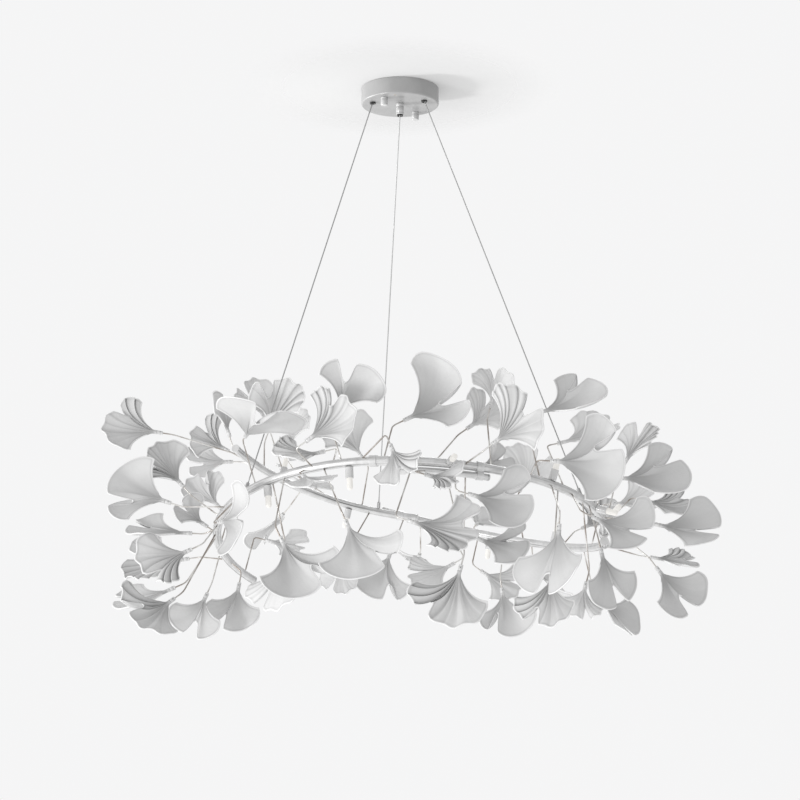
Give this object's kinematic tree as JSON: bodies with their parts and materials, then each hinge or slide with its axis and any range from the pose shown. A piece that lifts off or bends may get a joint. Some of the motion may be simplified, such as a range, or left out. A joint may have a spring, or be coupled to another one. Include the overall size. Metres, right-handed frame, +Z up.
{
  "type": "ring chandelier",
  "caption": "Ring of lapped metal branch tubes with porcelain ginkgo leaves on thin stems and small capsule lamps, hung level on three thin lines from a round ceiling cup.",
  "frame": {"origin": "centre of the ceiling cup's open rim, on the ceiling's face, at the middle of the two ceiling screws", "axes": "+Z up out of the cup's rim into the ceiling, -Y towards the side that the picture shows, +X to the right in the picture"},
  "size_m": [0.992, 0.94, 0.9231],
  "materials": {
    "cup_white": "satin",
    "zinc_steel": "satin",
    "gripper_brass": "satin",
    "white_plastic": "matte",
    "black_plastic": "matte",
    "steel_line": "satin",
    "branch_silver": "satin",
    "lead_cover": "matte",
    "holder_ceramic": "gloss",
    "frosted_glass": "frosted",
    "porcelain": "matte",
    "stem_nickel": "satin",
    "ferrule_pale": "satin"
  },
  "bodies": {
    "cup": {"ceiling_cup": "cup_white", "mounting_bar": "zinc_steel", "cup_studs": "zinc_steel", "gripper_left": "gripper_brass", "gripper_right": "gripper_brass", "middle_gland": "white_plastic", "gland_lock_nut": "zinc_steel", "driver_case": "white_plastic", "terminal_block": "white_plastic", "earth_screw": "gripper_brass", "line_left": "steel_line", "line_right": "steel_line", "line_middle": "steel_line"},
    "thumb_nut_left": {"thumb_nut_left": "cup_white"},
    "thumb_nut_right": {"thumb_nut_right": "cup_white"},
    "nozzle_left": {"nozzle_left": "black_plastic"},
    "nozzle_right": {"nozzle_right": "black_plastic"},
    "nozzle_middle": {"nozzle_middle": "black_plastic"},
    "ring": {"branch_back_left": "branch_silver", "branch_front_left": "branch_silver", "branch_front_right": "branch_silver", "branch_back_right": "branch_silver", "branch_under": "branch_silver", "lap_clips": "branch_silver", "end_plugs": "branch_silver", "ring_leads": "lead_cover", "line_anchors": "steel_line", "lamp_holders": "holder_ceramic", "lamp_capsules": "frosted_glass", "set_screws": "zinc_steel", "leaves_back_left": "porcelain", "leaves_left_high": "porcelain", "leaves_left_low": "porcelain", "leaves_front_left": "porcelain", "leaves_front_middle": "porcelain", "leaves_front_right": "porcelain", "leaves_right_high": "porcelain", "leaves_right_low": "porcelain", "leaves_back_right": "porcelain", "stems_back_left": "stem_nickel", "stems_left_high": "stem_nickel", "stems_left_low": "stem_nickel", "stems_front_left": "stem_nickel", "stems_front_middle": "stem_nickel", "stems_front_right": "stem_nickel", "stems_right_high": "stem_nickel", "stems_right_low": "stem_nickel", "stems_back_right": "stem_nickel", "ferrules_back_left": "ferrule_pale", "ferrules_left_high": "ferrule_pale", "ferrules_left_low": "ferrule_pale", "ferrules_front_left": "ferrule_pale", "ferrules_front_middle": "ferrule_pale", "ferrules_front_right": "ferrule_pale", "ferrules_right_high": "ferrule_pale", "ferrules_right_low": "ferrule_pale", "ferrules_back_right": "ferrule_pale"}
  },
  "joints": [
    {"name": "ring_height", "type": "slide", "parent": "cup", "child": "ring", "axis": [0, 0, 1], "range_m": [0, 0.25], "deforming": ["line_left", "line_right", "line_middle"]},
    {"name": "thumb_nut_left_turn", "type": "hinge", "parent": "cup", "child": "thumb_nut_left", "pos_m": [-0.02572, -0.03814, -0.03], "axis": [0, 0, 1], "continuous": true},
    {"name": "thumb_nut_right_turn", "type": "hinge", "parent": "cup", "child": "thumb_nut_right", "pos_m": [0.02572, 0.03814, -0.03], "axis": [0, 0, 1], "continuous": true},
    {"name": "nozzle_left_push", "type": "slide", "parent": "cup", "child": "nozzle_left", "axis": [0, 0, 1], "range_m": [0, 0.002], "stiffness_N_per_m": 500, "springref_m": -0.002},
    {"name": "nozzle_right_push", "type": "slide", "parent": "cup", "child": "nozzle_right", "axis": [0, 0, 1], "range_m": [0, 0.002], "stiffness_N_per_m": 500, "springref_m": -0.002},
    {"name": "nozzle_middle_push", "type": "slide", "parent": "cup", "child": "nozzle_middle", "axis": [0, 0, 1], "range_m": [0, 0.002], "stiffness_N_per_m": 500, "springref_m": -0.002}
  ]
}
